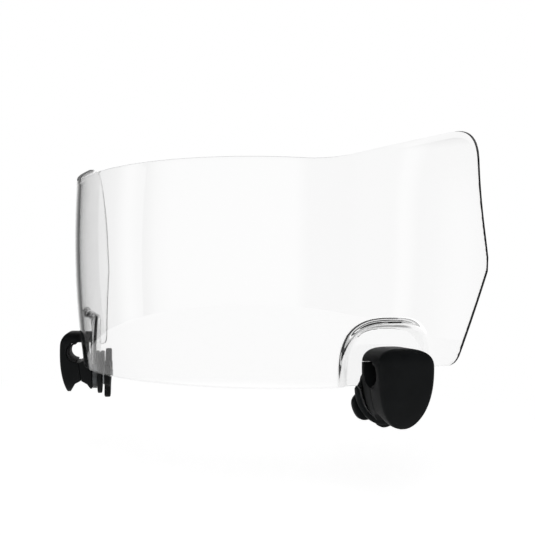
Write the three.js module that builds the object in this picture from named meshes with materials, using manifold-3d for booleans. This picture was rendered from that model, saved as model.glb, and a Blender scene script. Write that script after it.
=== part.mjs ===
// Clear football visor: a bent polycarbonate lens with a screw clamp at each lower side.
// Millimetres. +X is the wearer's left, -Y is the front and +Z is up.
// The origin is at the middle of the front, on the lower edge of the lens.
import * as THREE from "three";
import { mergeVertices } from "three/addons/utils/BufferGeometryUtils.js";
import Module from "manifold-3d";

const wasm = await Module();
wasm.setup();

// Clearances
const gap = 0.3; // between pieces that rest on each other
const boreGap = 0.4; // round the stud, where it slides
const overrun = 5; // how far a cut runs past what it cuts

// Lens sheet
const lens = {
  thickness: 2,
  centreHeight: 89,
  frontRadius: 118.6, // plan radius at the middle
  templeRadius: 95.5, // tightest plan radius
  templeArc: 72.6, // distance along the sheet to the tightest place
  verticalRadius: 422,
  bulgeUp: 68.8, // height of the most forward line
  flareOut: 5.6, // outward turn of the upper rear corners
  flareArc: 60,
  flareUp: 62,
  flarePowerShare: 2.4,
};

// Lens outline: distances along the sheet from the middle, and heights
const outline = {
  browArc: 71.6, // where the brow starts to rise
  browDip: 1.1,
  browBlend: 9,
  topCornerArc: 138.5,
  topCornerUp: 106.6,
  topCornerBlend: 14,
  kneeArc: 149.6,
  kneeUp: 49,
  kneeBlend: 3,
  kneeFlat: 0.1, // how far the end of the grid stays inside the knee
  lowCornerArc: 134.3,
  lowCornerUp: 7.8,
  lowCornerBlend: 5,
  chinRise: 1.2, // rise of the lower edge from the middle to the clamp
};

// Clamp place, its flat seat on the lens and the tab that hangs below it
const seat = {
  arc: 99.4, // distance along the sheet to the clamp's middle
  out: -9, // flat face of the seat and the tab
  turn: THREE.MathUtils.degToRad(5.6), // how far the clamp faces further to the front than the sheet there
  frontHalfWidth: 18,
  rearHalfWidth: 17.3,
  top: 23.7,
  shoulderUp: 4, // where the arch starts to curve in
  frontBlend: 5.6, // width of the wall round the seat
  rearBlend: 1.5,
  topBlend: 2.7,
  backLift: 1.3, // how much higher the top of the wall's back lies, so that the wall keeps its thickness
  tabHalfWidth: 12.6,
  tabDrop: 12.6,
  tabBlend: 2,
  tabInnerBlend: 0.7,
  columnReach: 5.7, // how far past the seat the close columns go
  archPowerShare: 3,
  tabPowerShare: 2.2,
};

// Clamp jaws: out is away from the lens, up is height
const jaw = {
  halfWidth: 11.8,
  widestUp: 9,
  topUp: 16.2,
  tipUp: -14.2,
  faceOut: 6.9,
  browOut: 1, // where the rounded front meets the flat top
  tipDraw: 3.6, // how far the face draws in at the tip
  edgeRadius: 1.5,
  backRadius: 0.4,
  splitOut: -2.25,
  splitLean: THREE.MathUtils.degToRad(8),
  sidePowerShare: 2.2,
  crownPowerShare: 2.9,
  browPowerShare: 2.1,
  drawPowerShare: 2.6,
};

// Bar hole under the hook
const bar = { out: -1.3, up: 6.1, boreRadius: 5.1, linerWall: 0.7, linerSetback: 0.6, slitDrop: 0.6 };

// Notch between the two jaws' feet
const notch = {
  apexOut: -3.3,
  apexUp: -8.1,
  outerKneeOut: -1.4,
  outerKneeUp: -9.2,
  outerToeOut: 0.1,
  outerToeUp: -10.8,
  outerTipOut: 2,
  innerKneeOut: -6.3,
  innerKneeUp: -10,
  innerToeOut: -7.8,
  innerToeUp: -12.45,
};

// Stud, washers, plate and knob, along the clamp's screw axis
const stud = { up: -4.9, radius: 2, headAcross: 7, headThick: 2.8, headOut: 1, endChamfer: 0.5 };
const gasket = { radius: 3.7, thickness: 0.6 };
const plate = {
  top: 5.5,
  topHalfWidth: 9,
  halfWidth: 12.6,
  widestUp: -0.5,
  tipUp: -15.3,
  faceOut: -13.5,
  edge: 0.6,
  sidePowerShare: 1.9,
};
const washer = { radius: 6, thickness: 0.6 };
const knob = {
  radius: 12.4,
  notchDepth: 3.2,
  thickness: 3,
  edge: 0.6,
  dishRadius: 6.4,
  dishDepth: 0.6,
  lobes: 4,
  notchPowerShare: 2.5,
};
const knobTurns = { left: THREE.MathUtils.degToRad(24), right: 0 }; // as the photo shows them
const insert = { radius: 3.6, sink: 0.2, proud: 0.3 };
const studProud = 0.8; // past the knob, when the clamp is closed

// Where the knob lies along the screw axis
const washerOut = plate.faceOut - gap;
const knobOut = washerOut - washer.thickness - gap;
const knobIn = knobOut - knob.thickness;

// Where the tab's back lies, and the slit between the hook and the inner jaw
const tabBack = seat.out - lens.thickness;
const slitUp = bar.up + bar.boreRadius - bar.slitDrop;

// Counts
const planSteps = 600;
const seatColumns = 14;
const midColumns = 8;
const rearColumns = 10;
const footRows = 2;
const seatRows = 7;
const highRows = 5;
const halfShare = 0.5;
const stepShares = [0.3, 0.7, 1, 1.5]; // places across the wall round the seat
const crowdShare = 0.2; // height of the seat's rows at the rear, of the sheet's height there
const roundSides = 32;
const boreSides = 24;
const jawRings = 9;
const cornerSteps = 3;
const edgeAngle = THREE.MathUtils.degToRad(84);
const cornerPoints = 8; // on each rounded corner of the lens outline
const edgeSteps = 2; // across a rounded edge of the plate and the knob
const curveSteps = 6; // along a curve of a flat outline
const lobeSteps = 12; // round one lobe of the knob

// Finishes
const clearPolycarbonate = new THREE.MeshStandardMaterial({
  color: 0xf2f4f5,
  roughness: 0.03,
  metalness: 0,
  transparent: true,
  opacity: 0.3,
});
const blackNylon = new THREE.MeshStandardMaterial({ color: 0x1b1d1e, roughness: 0.55, metalness: 0 });
const greyNylon = new THREE.MeshStandardMaterial({ color: 0x26282a, roughness: 0.5, metalness: 0 });
const rubber = new THREE.MeshStandardMaterial({ color: 0x2c2c2d, roughness: 0.8, metalness: 0 });
const steel = new THREE.MeshStandardMaterial({ color: 0xb4b6b8, roughness: 0.3, metalness: 1 });
const brass = new THREE.MeshStandardMaterial({ color: 0xb89a55, roughness: 0.35, metalness: 1 });

// A closed geometry as a solid
function solidOf(geometry) {
  const bare = geometry.clone();
  bare.deleteAttribute("normal");
  bare.deleteAttribute("uv");
  const merged = mergeVertices(bare);
  return new wasm.Manifold(
    new wasm.Mesh({
      numProp: 3,
      vertProperties: new Float32Array(merged.attributes.position.array),
      triVerts: new Uint32Array(merged.index.array),
    }),
  );
}

// A solid as a named mesh
function meshOf(name, solid, material) {
  const data = solid.getMesh();
  const geometry = new THREE.BufferGeometry();
  geometry.setAttribute("position", new THREE.BufferAttribute(new Float32Array(data.vertProperties), 3));
  geometry.setIndex(new THREE.BufferAttribute(new Uint32Array(data.triVerts), 1));
  geometry.computeVertexNormals();
  const mesh = new THREE.Mesh(geometry, material);
  mesh.name = name;
  return mesh;
}

// Half width of a superellipse at a height given as a share of its reach
function roundShare(heightShare, power) {
  return Math.pow(Math.max(0, 1 - Math.pow(Math.min(1, Math.abs(heightShare)), power)), 1 / power);
}

// Plan curve of the sheet: it starts straight across at the front and tightens to the temples
function curvatureAt(arc) {
  const tightening = Math.pow(arc / lens.templeArc, 2);
  const front = 1 / lens.frontRadius;
  return front + (1 / lens.templeRadius - front) * tightening * (2 - tightening);
}

const plan = [{ x: 0, y: 0, angle: 0 }];
const planStep = outline.kneeArc / planSteps;
for (let i = 0; i < planSteps; i++) {
  const last = plan[i];
  const turn = curvatureAt((i + 0.5) * planStep) * planStep;
  const middle = last.angle + turn / 2;
  plan.push({
    x: last.x + planStep * Math.cos(middle),
    y: last.y + planStep * Math.sin(middle),
    angle: last.angle + turn,
  });
}

function planAt(arc) {
  const place = Math.min(Math.abs(arc) / planStep, planSteps - 1e-6);
  const i = Math.floor(place);
  const share = place - i;
  const mix = (key) => plan[i][key] + (plan[i + 1][key] - plan[i][key]) * share;
  return { x: mix("x"), y: mix("y"), angle: mix("angle") };
}

const clampPlace = planAt(seat.arc);
clampPlace.angle -= seat.turn;

// 1 on the seat and the tab, 0 on the plain sheet, smooth across the wall between them
function seatShareAt(along, up, lift) {
  const rise = Math.max(0, up - seat.shoulderUp);
  const power = seat.archPowerShare;
  const halfWidth = along < 0 ? seat.frontHalfWidth : seat.rearHalfWidth;
  const blend = along < 0 ? seat.frontBlend : seat.rearBlend;
  const reach = seat.top + lift - seat.shoulderUp;
  const measure = (width, height) =>
    Math.pow(Math.pow(Math.abs(along) / width, power) + Math.pow(rise / height, power), 1 / power);
  const inside = measure(halfWidth, reach) - 1;
  const outside = 1 - measure(halfWidth + blend, reach + seat.topBlend);
  if (inside <= 0) return 1;
  if (outside <= 0) return 0;
  return 1 - THREE.MathUtils.smoothstep(inside / (inside + outside), 0, 1);
}

// How far the upper rear corners turn outwards from the plain bulge
function flareAt(arc, up) {
  const alongShare = Math.max(0, (Math.abs(arc) - lens.flareArc) / (outline.topCornerArc - lens.flareArc));
  const upShare = Math.max(0, (up - lens.flareUp) / (outline.topCornerUp - lens.flareUp));
  return lens.flareOut * Math.pow(alongShare, 2) * Math.pow(upShare, lens.flarePowerShare);
}

// A point of the outer or inner face of the sheet
function sheetPoint(arc, up, depth) {
  const place = planAt(arc);
  const dx = place.x - clampPlace.x;
  const dy = place.y - clampPlace.y;
  const along = dx * Math.cos(clampPlace.angle) + dy * Math.sin(clampPlace.angle);
  const curveOut = dx * Math.sin(clampPlace.angle) - dy * Math.cos(clampPlace.angle);
  const plainOut = flareAt(arc, up) - Math.pow(up - lens.bulgeUp, 2) / (2 * lens.verticalRadius);
  const seatOut = (seat.out - curveOut) / Math.cos(place.angle - clampPlace.angle);
  const share = seatShareAt(along, up, (seat.backLift * depth) / lens.thickness);
  const out = THREE.MathUtils.lerp(plainOut, seatOut, share) - depth;
  return new THREE.Vector3(
    Math.sign(arc) * (place.x + out * Math.sin(place.angle)),
    place.y - out * Math.cos(place.angle),
    up,
  );
}

// Adds a straight run and a rounded corner to an outline
function cornerTo(path, from, corner, next, blend) {
  const into = corner.clone().sub(from).setLength(blend);
  const away = next.clone().sub(corner).setLength(blend);
  const start = corner.clone().sub(into);
  const end = corner.clone().add(away);
  path.lineTo(start.x, start.y);
  path.quadraticCurveTo(corner.x, corner.y, end.x, end.y);
}

const lowCorner = new THREE.Vector2(outline.lowCornerArc, outline.lowCornerUp);
const knee = new THREE.Vector2(outline.kneeArc, outline.kneeUp);
const topCorner = new THREE.Vector2(outline.topCornerArc, outline.topCornerUp);
const browCorner = new THREE.Vector2(outline.browArc, lens.centreHeight - outline.browDip);

// Lower edge of one half: chin, tab, rear corner and knee
function lowerEdge() {
  const path = new THREE.Path();
  const tabStart = seat.arc - seat.tabHalfWidth - seat.tabBlend;
  const rootUp = outline.lowCornerUp - seat.tabBlend;
  path.quadraticCurveTo(tabStart * halfShare, 0, tabStart, outline.chinRise);
  const steps = 2 * seatColumns;
  let started = false;
  for (let i = 0; i <= steps; i++) {
    const turn = Math.PI * (i / steps - 0.5);
    const along = seat.tabHalfWidth * Math.sin(turn);
    const up = rootUp - (rootUp + seat.tabDrop) * roundShare(along / seat.tabHalfWidth, seat.tabPowerShare);
    if (!started && up > outline.chinRise - seat.tabBlend) continue;
    if (started) path.lineTo(seat.arc + along, up);
    else path.quadraticCurveTo(seat.arc - seat.tabHalfWidth, outline.chinRise, seat.arc + along, up);
    started = true;
  }
  const tabEnd = seat.arc + seat.tabHalfWidth;
  path.quadraticCurveTo(tabEnd, outline.lowCornerUp, tabEnd + seat.tabBlend, outline.lowCornerUp);
  cornerTo(path, path.currentPoint, lowCorner, knee, outline.lowCornerBlend);
  cornerTo(path, path.currentPoint, knee, topCorner, outline.kneeBlend);
  return path.getPoints(cornerPoints);
}

// Upper edge of one half: brow, rise, rear corner and knee
function upperEdge() {
  const path = new THREE.Path();
  path.moveTo(0, lens.centreHeight);
  const browStart = outline.browArc - outline.browBlend;
  path.quadraticCurveTo(browStart * halfShare, lens.centreHeight, browStart, browCorner.y);
  cornerTo(path, path.currentPoint, browCorner, topCorner, outline.browBlend);
  cornerTo(path, path.currentPoint, topCorner, knee, outline.topCornerBlend);
  cornerTo(path, path.currentPoint, knee, lowCorner, outline.kneeBlend);
  return path.getPoints(cornerPoints);
}

function heightOn(edge, arc) {
  const i = Math.max(1, edge.findIndex((point) => point.x >= arc));
  const share = (arc - edge[i - 1].x) / Math.max(edge[i].x - edge[i - 1].x, 1e-9);
  return THREE.MathUtils.lerp(edge[i - 1].y, edge[i].y, THREE.MathUtils.clamp(share, 0, 1));
}

// Where the sheet's columns stand on one half: closer together at the seat and the corners
function halfColumns(tipArc) {
  const arcs = [];
  const seatStart = seat.arc - seat.frontHalfWidth - seat.frontBlend - seat.columnReach;
  const seatEnd = seat.arc + seat.rearHalfWidth + seat.columnReach;
  for (let i = 0; i < midColumns; i++) arcs.push((seatStart * i) / midColumns);
  for (const side of [-1, 1]) {
    const halfWidth = side < 0 ? seat.frontHalfWidth : seat.rearHalfWidth;
    const blend = side < 0 ? seat.frontBlend : seat.rearBlend;
    for (const stepShare of [0, ...stepShares]) {
      arcs.push(seat.arc + side * (halfWidth + stepShare * blend));
    }
    arcs.push(seat.arc + side * (seat.tabHalfWidth + seat.tabBlend));
    arcs.push(seat.arc + side * (seat.tabHalfWidth + seat.tabInnerBlend));
  }
  for (let i = 0; i <= seatColumns; i++) {
    arcs.push(seat.arc + seat.tabHalfWidth * Math.sin(Math.PI * (i / seatColumns - 0.5)));
  }
  for (let i = 1; i <= rearColumns; i++) {
    arcs.push(tipArc - (tipArc - seatEnd) * Math.pow(1 - i / rearColumns, 2));
  }
  return arcs.sort((a, b) => a - b);
}

// Heights of one column's rows: the same at every column near the seat, crowded up at the rear
function columnHeights(bottom, top) {
  const foot = Math.max(bottom, outline.lowCornerUp);
  const heights = [];
  for (let i = 0; i < footRows; i++) heights.push(THREE.MathUtils.lerp(bottom, foot, i / footRows));
  for (let i = 0; i <= seatRows; i++) {
    const riseShare = Math.sin((Math.PI / 2) * (i / seatRows));
    heights.push(THREE.MathUtils.lerp(outline.lowCornerUp, seat.top, riseShare));
  }
  for (const stepShare of stepShares) heights.push(seat.top + stepShare * seat.topBlend);
  const split = heights.length - 1;
  const crowd = (crowdShare * (top - bottom)) / split;
  const ups = heights.map((up, row) => Math.max(up, bottom + row * crowd));
  for (let i = 1; i <= highRows; i++) ups.push(THREE.MathUtils.lerp(ups[split], top, i / highRows));
  return ups;
}

// The sheet is a grid of columns along it and rows up it, on both faces, closed round the edge
function lensSolid() {
  const low = lowerEdge();
  const high = upperEdge();
  const tip = Math.min(low[low.length - 1].x, high[high.length - 1].x);
  const half = halfColumns(tip - outline.kneeFlat);
  const arcs = [...half.slice(1).reverse().map((arc) => -arc), ...half];
  const faces = [0, lens.thickness].map((depth) =>
    arcs.map((arc) =>
      columnHeights(heightOn(low, Math.abs(arc)), heightOn(high, Math.abs(arc))).map((up) =>
        sheetPoint(arc, up, depth),
      ),
    ),
  );
  const columns = arcs.length;
  const rows = faces[0][0].length;
  const positions = faces.flat(2).flatMap((point) => point.toArray());
  const at = (face, column, row) => (face * columns + column) * rows + row;
  const index = [];
  const quad = (a, b, c, d) => index.push(a, b, c, a, c, d);
  for (let column = 0; column + 1 < columns; column++) {
    for (let row = 0; row + 1 < rows; row++) {
      quad(at(0, column, row), at(0, column + 1, row), at(0, column + 1, row + 1), at(0, column, row + 1));
      quad(at(1, column, row), at(1, column, row + 1), at(1, column + 1, row + 1), at(1, column + 1, row));
    }
    quad(at(1, column, 0), at(1, column + 1, 0), at(0, column + 1, 0), at(0, column, 0));
    const last = rows - 1;
    quad(at(0, column, last), at(0, column + 1, last), at(1, column + 1, last), at(1, column, last));
  }
  for (let row = 0; row + 1 < rows; row++) {
    quad(at(1, 0, row), at(0, 0, row), at(0, 0, row + 1), at(1, 0, row + 1));
    const end = columns - 1;
    quad(at(0, end, row), at(1, end, row), at(1, end, row + 1), at(0, end, row + 1));
  }
  const geometry = new THREE.BufferGeometry();
  geometry.setAttribute("position", new THREE.Float32BufferAttribute(positions, 3));
  geometry.setIndex(index);
  return solidOf(geometry);
}

// A cylinder along the clamp's screw axis, between two distances out from the bulge line
function axisCylinder(radius, outFrom, outTo, sides = boreSides) {
  const geometry = new THREE.CylinderGeometry(radius, radius, outTo - outFrom, sides);
  return solidOf(geometry.translate(0, -(outFrom + outTo) / 2, stud.up));
}

function axisRing(outerRadius, innerRadius, outFrom, outTo) {
  return axisCylinder(outerRadius, outFrom, outTo, roundSides).subtract(
    axisCylinder(innerRadius, outFrom - overrun, outTo + overrun),
  );
}

// An outline of across and up, made solid between two distances out
function outExtrude(shape, outFrom, outTo, edge) {
  const geometry = new THREE.ExtrudeGeometry(shape, {
    depth: outTo - outFrom - 2 * edge,
    bevelEnabled: edge > 0,
    bevelThickness: edge,
    bevelSize: edge,
    bevelOffset: -edge,
    bevelSegments: edgeSteps,
    curveSegments: curveSteps,
  });
  geometry.translate(0, 0, edge);
  geometry.rotateX(Math.PI / 2);
  return solidOf(geometry.translate(0, -outFrom, 0));
}

// An outline of inwards and up, made solid across the clamp
function acrossExtrude(shape, width) {
  const geometry = new THREE.ExtrudeGeometry(shape, {
    depth: width,
    bevelEnabled: false,
    curveSegments: boreSides / 2,
  });
  geometry.translate(0, 0, -width / 2);
  geometry.applyMatrix4(
    new THREE.Matrix4().makeBasis(
      new THREE.Vector3(0, 1, 0),
      new THREE.Vector3(0, 0, 1),
      new THREE.Vector3(1, 0, 0),
    ),
  );
  return solidOf(geometry);
}

// Everything on one side of a leaning plane: sense 1 is the outer side, -1 the inner side
function halfSpace(outAtHeight, height, lean, sense) {
  const size = 2 * (jaw.topUp - jaw.tipUp) + overrun;
  const geometry = new THREE.BoxGeometry(size, size, size);
  geometry.translate(0, (-sense * size) / 2, 0);
  geometry.rotateX(lean);
  return solidOf(geometry.translate(0, -outAtHeight, height));
}

function boxSolid(width, outFrom, outTo, upFrom, upTo) {
  const geometry = new THREE.BoxGeometry(width, outTo - outFrom, upTo - upFrom);
  return solidOf(geometry.translate(0, -(outFrom + outTo) / 2, (upFrom + upTo) / 2));
}

// One level of the jaws: a rectangle with a rounded front and a nearly square back
function jawRing(halfWidth, outFace, outBack, up) {
  const reach = Math.min(halfWidth, (outFace - outBack) / 2);
  const points = [];
  const corners = [
    [1, outBack, Math.min(jaw.backRadius, reach), 1],
    [-1, outBack, Math.min(jaw.backRadius, reach), 1],
    [-1, outFace, Math.min(jaw.edgeRadius, reach), -1],
    [1, outFace, Math.min(jaw.edgeRadius, reach), -1],
  ];
  corners.forEach(([side, out, radius, inward], corner) => {
    for (let i = 0; i <= cornerSteps; i++) {
      const turn = (Math.PI / 2) * (corner + i / cornerSteps);
      const x = side * (halfWidth - radius) + radius * Math.cos(turn);
      const y = -(out + inward * radius) + radius * Math.sin(turn);
      points.push(new THREE.Vector3(x, y, up));
    }
  });
  return points;
}

// The clamp's whole body, lofted up from the tip to the crowned top
function jawBlank() {
  const rings = [];
  for (let i = -jawRings; i <= jawRings; i++) {
    const turn = (edgeAngle * i) / jawRings;
    const power = i < 0 ? jaw.sidePowerShare : jaw.crownPowerShare;
    const halfWidth = jaw.halfWidth * Math.pow(Math.cos(turn), 2 / power);
    const reach = i < 0 ? jaw.tipUp - jaw.widestUp : jaw.topUp - jaw.widestUp;
    const up = jaw.widestUp + reach * Math.pow(Math.abs(Math.sin(turn)), 2 / power);
    const drawShare = Math.max(0, (jaw.widestUp - up) / (jaw.widestUp - jaw.tipUp));
    const browShare = Math.max(0, (up - jaw.widestUp) / (jaw.topUp - jaw.widestUp));
    const outFace =
      jaw.browOut +
      (jaw.faceOut - jaw.browOut) * roundShare(browShare, jaw.browPowerShare) -
      jaw.tipDraw * Math.pow(drawShare, jaw.drawPowerShare);
    rings.push(jawRing(halfWidth, outFace, seat.out + gap, up));
  }
  const around = rings[0].length;
  const last = (rings.length - 1) * around;
  const index = [];
  for (let ring = 0; ring + 1 < rings.length; ring++) {
    for (let i = 0; i < around; i++) {
      const a = ring * around + i;
      const b = ring * around + ((i + 1) % around);
      index.push(a, b, b + around, a, b + around, a + around);
    }
  }
  for (let i = 1; i + 1 < around; i++) {
    index.push(0, i + 1, i);
    index.push(last, last + i, last + i + 1);
  }
  const geometry = new THREE.BufferGeometry();
  geometry.setAttribute(
    "position",
    new THREE.Float32BufferAttribute(rings.flat().flatMap((point) => point.toArray()), 3),
  );
  geometry.setIndex(index);
  return solidOf(geometry);
}

// The bar hole, square where the hook's flat roof meets the inner jaw's wall
function barSpace() {
  const width = 2 * jaw.halfWidth + 2 * overrun;
  const hole = new THREE.CylinderGeometry(bar.boreRadius, bar.boreRadius, width, roundSides);
  hole.rotateZ(Math.PI / 2);
  hole.translate(0, -bar.out, bar.up);
  const corner = boxSolid(width, bar.out - bar.boreRadius, bar.out, bar.up, bar.up + bar.boreRadius);
  return solidOf(hole).add(corner);
}

// The open notch between the jaws' feet
function footNotch() {
  const shape = new THREE.Shape();
  const below = jaw.tipUp - overrun;
  shape.moveTo(-notch.outerTipOut, below);
  shape.lineTo(-notch.outerTipOut, jaw.tipUp);
  shape.lineTo(-notch.outerToeOut, notch.outerToeUp);
  shape.quadraticCurveTo(-notch.outerToeOut, notch.outerKneeUp, -notch.outerKneeOut, notch.outerKneeUp);
  shape.lineTo(-notch.apexOut, notch.apexUp);
  shape.lineTo(-notch.innerKneeOut, notch.innerKneeUp);
  shape.lineTo(-notch.innerToeOut, notch.innerToeUp);
  const back = notch.innerToeOut - jaw.halfWidth;
  shape.lineTo(-back, notch.innerToeUp);
  shape.lineTo(-back, below);
  return acrossExtrude(shape, 2 * jaw.halfWidth + 2 * overrun);
}

// The space that the inner jaw takes, moved in or out by half the gap at the split
function innerSide(shift) {
  const size = 2 * jaw.halfWidth + 2 * overrun;
  const below = boxSolid(size, bar.out - size, bar.out + size, jaw.tipUp - overrun, slitUp + shift);
  return halfSpace(jaw.splitOut + shift, 0, jaw.splitLean, -1).intersect(below);
}

function hexagon(across, outFrom, outTo) {
  return axisCylinder(across / Math.sqrt(3), outFrom, outTo, 6);
}

// The stud with its hexagon head and a small chamfer at its free end
function studSolid() {
  const end = knobIn - studProud;
  const profile = [
    new THREE.Vector2(0, -stud.headOut - stud.headThick / 2),
    new THREE.Vector2(stud.radius, -stud.headOut - stud.headThick / 2),
    new THREE.Vector2(stud.radius, -end - stud.endChamfer),
    new THREE.Vector2(stud.radius - stud.endChamfer, -end),
    new THREE.Vector2(0, -end),
  ];
  const shaft = new THREE.LatheGeometry(profile, boreSides);
  const head = hexagon(stud.headAcross, stud.headOut, stud.headOut + stud.headThick);
  return solidOf(shaft.translate(0, 0, stud.up)).add(head);
}

// The way for the stud through everything that it passes, up to its head
function studWay() {
  return axisCylinder(stud.radius + boreGap, knobIn - overrun, stud.headOut + stud.headThick / 2);
}

// The plate behind the tab, with a recess for the gasket
function plateSolid() {
  const shape = new THREE.Shape();
  shape.moveTo(plate.topHalfWidth, plate.top);
  shape.lineTo(-plate.topHalfWidth, plate.top);
  const steps = 2 * jawRings;
  for (let i = 0; i <= steps; i++) {
    const across = plate.halfWidth * Math.sin(Math.PI * (i / steps - 0.5));
    const sideShare = roundShare(across / plate.halfWidth, plate.sidePowerShare);
    shape.lineTo(across, THREE.MathUtils.lerp(plate.widestUp, plate.tipUp, sideShare));
  }
  return outExtrude(shape, plate.faceOut, tabBack - gap, plate.edge)
    .subtract(axisCylinder(gasket.radius + gap, tabBack - gasket.thickness - 2 * gap, tabBack, roundSides))
    .subtract(studWay());
}

// Knob outline: four broad lobes with narrow notches between them
function knobShape(knobTurn) {
  const shape = new THREE.Shape();
  const steps = lobeSteps * knob.lobes;
  for (let i = 0; i < steps; i++) {
    const turn = (2 * Math.PI * i) / steps;
    const waveShare = (1 - Math.cos(knob.lobes * (turn - knobTurn))) / 2;
    const notchShare = Math.pow(waveShare, knob.notchPowerShare);
    const radius = knob.radius - knob.notchDepth * notchShare;
    const x = radius * Math.cos(turn);
    const y = stud.up + radius * Math.sin(turn);
    if (i === 0) shape.moveTo(x, y);
    else shape.lineTo(x, y);
  }
  return shape;
}

// The knob, with its bore for the insert and a shallow dish on the hand side
function knobSolid(knobTurn) {
  return outExtrude(knobShape(knobTurn), knobIn, knobOut, knob.edge)
    .subtract(axisCylinder(insert.radius + gap, knobIn - overrun, knobOut + overrun))
    .subtract(axisCylinder(knob.dishRadius, knobIn - overrun, knobIn + knob.dishDepth, roundSides));
}

// The rubber sleeve in the hook, from its roof round to the split
function linerSolid() {
  const outer = bar.boreRadius - gap;
  const inner = outer - bar.linerWall;
  const width = 2 * (jaw.halfWidth - bar.linerSetback);
  const shape = new THREE.Shape();
  const from = Math.PI / 2;
  const to = 1.5 * Math.PI - gap / inner;
  shape.absarc(-bar.out, bar.up, outer, from, to, false);
  shape.absarc(-bar.out, bar.up, inner, to, from, true);
  return acrossExtrude(shape, width);
}

const blank = jawBlank().subtract(footNotch()).subtract(barSpace());
const headSpace = hexagon(
  stud.headAcross + 2 * gap,
  stud.headOut - gap,
  stud.headOut + stud.headThick + gap,
);
const gasketRecess = axisCylinder(
  gasket.radius + gap,
  seat.out,
  seat.out + gasket.thickness + 2 * gap,
  roundSides,
);
const gasketBore = stud.radius + boreGap;
const pieces = {
  outer_jaw: [
    blank.subtract(innerSide(gap / 2)).subtract(studWay()).subtract(headSpace),
    blackNylon,
  ],
  bar_liner: [linerSolid(), rubber],
  inner_jaw: [
    blank.intersect(innerSide(-gap / 2)).subtract(studWay()).subtract(gasketRecess),
    blackNylon,
  ],
  outer_gasket: [
    axisRing(gasket.radius, gasketBore, seat.out + gap, seat.out + gap + gasket.thickness),
    rubber,
  ],
  inner_gasket: [
    axisRing(gasket.radius, gasketBore, tabBack - gap - gasket.thickness, tabBack - gap),
    rubber,
  ],
  backing_plate: [plateSolid(), greyNylon],
  clamp_stud: [studSolid(), steel],
  thrust_washer: [
    axisRing(washer.radius, stud.radius + gap, washerOut - washer.thickness, washerOut),
    steel,
  ],
  knob_insert: [
    axisRing(insert.radius, stud.radius + gap, knobIn + insert.proud, knobOut - insert.sink),
    brass,
  ],
};

const visor = new THREE.Group();
let sheet = lensSolid();
for (const side of [1, -1]) {
  const clamp = new THREE.Group();
  clamp.position.set(side * clampPlace.x, clampPlace.y, 0);
  clamp.rotation.z = side * clampPlace.angle;
  const suffix = side > 0 ? "left" : "right"; // the wearer's
  for (const [name, [solid, material]] of Object.entries(pieces)) {
    clamp.add(meshOf(`${name}_${suffix}`, solid, material));
  }
  clamp.add(meshOf(`thumb_knob_${suffix}`, knobSolid(knobTurns[suffix]), blackNylon));
  visor.add(clamp);
  clamp.updateMatrix();
  sheet = sheet.subtract(studWay().transform(clamp.matrix.toArray()));
}
visor.add(meshOf("lens", sheet, clearPolycarbonate));

export default visor;
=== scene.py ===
import math

import bpy
from mathutils import Matrix, Vector


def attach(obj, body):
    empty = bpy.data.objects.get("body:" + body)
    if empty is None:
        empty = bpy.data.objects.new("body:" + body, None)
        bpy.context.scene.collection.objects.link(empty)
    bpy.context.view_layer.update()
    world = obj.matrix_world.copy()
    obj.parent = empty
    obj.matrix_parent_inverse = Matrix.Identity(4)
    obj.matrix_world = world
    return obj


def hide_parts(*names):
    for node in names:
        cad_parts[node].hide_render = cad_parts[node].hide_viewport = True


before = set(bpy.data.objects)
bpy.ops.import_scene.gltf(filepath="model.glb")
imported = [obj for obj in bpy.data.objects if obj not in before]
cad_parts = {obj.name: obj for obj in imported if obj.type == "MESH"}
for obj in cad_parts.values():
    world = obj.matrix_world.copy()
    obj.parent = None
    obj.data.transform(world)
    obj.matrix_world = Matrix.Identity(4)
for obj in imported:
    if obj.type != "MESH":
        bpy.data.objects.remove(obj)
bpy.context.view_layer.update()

mm = 0.001
tiny = 1e-9
roundSides = 96  # round the larger cylinders
print("frame loaded:", len(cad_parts), "nodes")


# small helpers
def hexColor(code):  # sRGB hex to Blender's linear colour
    values = [int(code[i:i + 2], 16) / 255 for i in (1, 3, 5)]
    linear = [v / 12.92 if v <= 0.04045 else ((v + 0.055) / 1.055) ** 2.4 for v in values]
    return (*linear, 1.0)


white = hexColor("#ffffff")


def greyStops(pairs):  # a colour ramp's stops from (position, level)
    return [(position, (level, level, level, 1)) for position, level in pairs]


def marksOf(size):  # noise scale that gives marks of about this many mm
    return 1 / (size * mm)


def linkInputs(tree, node, links):
    for key, source in links.items():
        tree.links.new(source, node.inputs[key])


# a setting is a socket's name or number, a property of the node, or a colour ramp's stops
def addNode(tree, kind, settings=None, links=None):
    node = tree.nodes.new(kind)
    for key, value in (settings or {}).items():
        if key == "stops":
            elements = node.color_ramp.elements
            elements.remove(elements[1])
            elements[0].position, elements[0].color = value[0]
            for position, color in value[1:]:
                elements.new(position).color = color
        elif isinstance(key, int) or key in node.inputs:
            node.inputs[key].default_value = value
        else:
            setattr(node, key, value)
    linkInputs(tree, node, links or {})
    return node


def newMaterial(name, settings):  # with one Principled shader, and Object coordinates for its patterns
    material = bpy.data.materials.new(name)
    material.use_nodes = True
    tree = material.node_tree
    tree.nodes.clear()
    shader = addNode(tree, "ShaderNodeBsdfPrincipled", settings)
    addNode(tree, "ShaderNodeOutputMaterial", None, {"Surface": shader.outputs["BSDF"]})
    place = addNode(tree, "ShaderNodeTexCoord").outputs["Object"]
    return material, tree, shader, place


def selectOnly(piece):
    bpy.ops.object.select_all(action="DESELECT")
    piece.select_set(True)
    bpy.context.view_layer.objects.active = piece


def editPiece(piece):  # into edit mode with everything selected
    selectOnly(piece)
    bpy.ops.object.mode_set(mode="EDIT")
    bpy.ops.mesh.select_all(action="SELECT")


def leaveEdit():
    bpy.ops.object.mode_set(mode="OBJECT")


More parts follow.
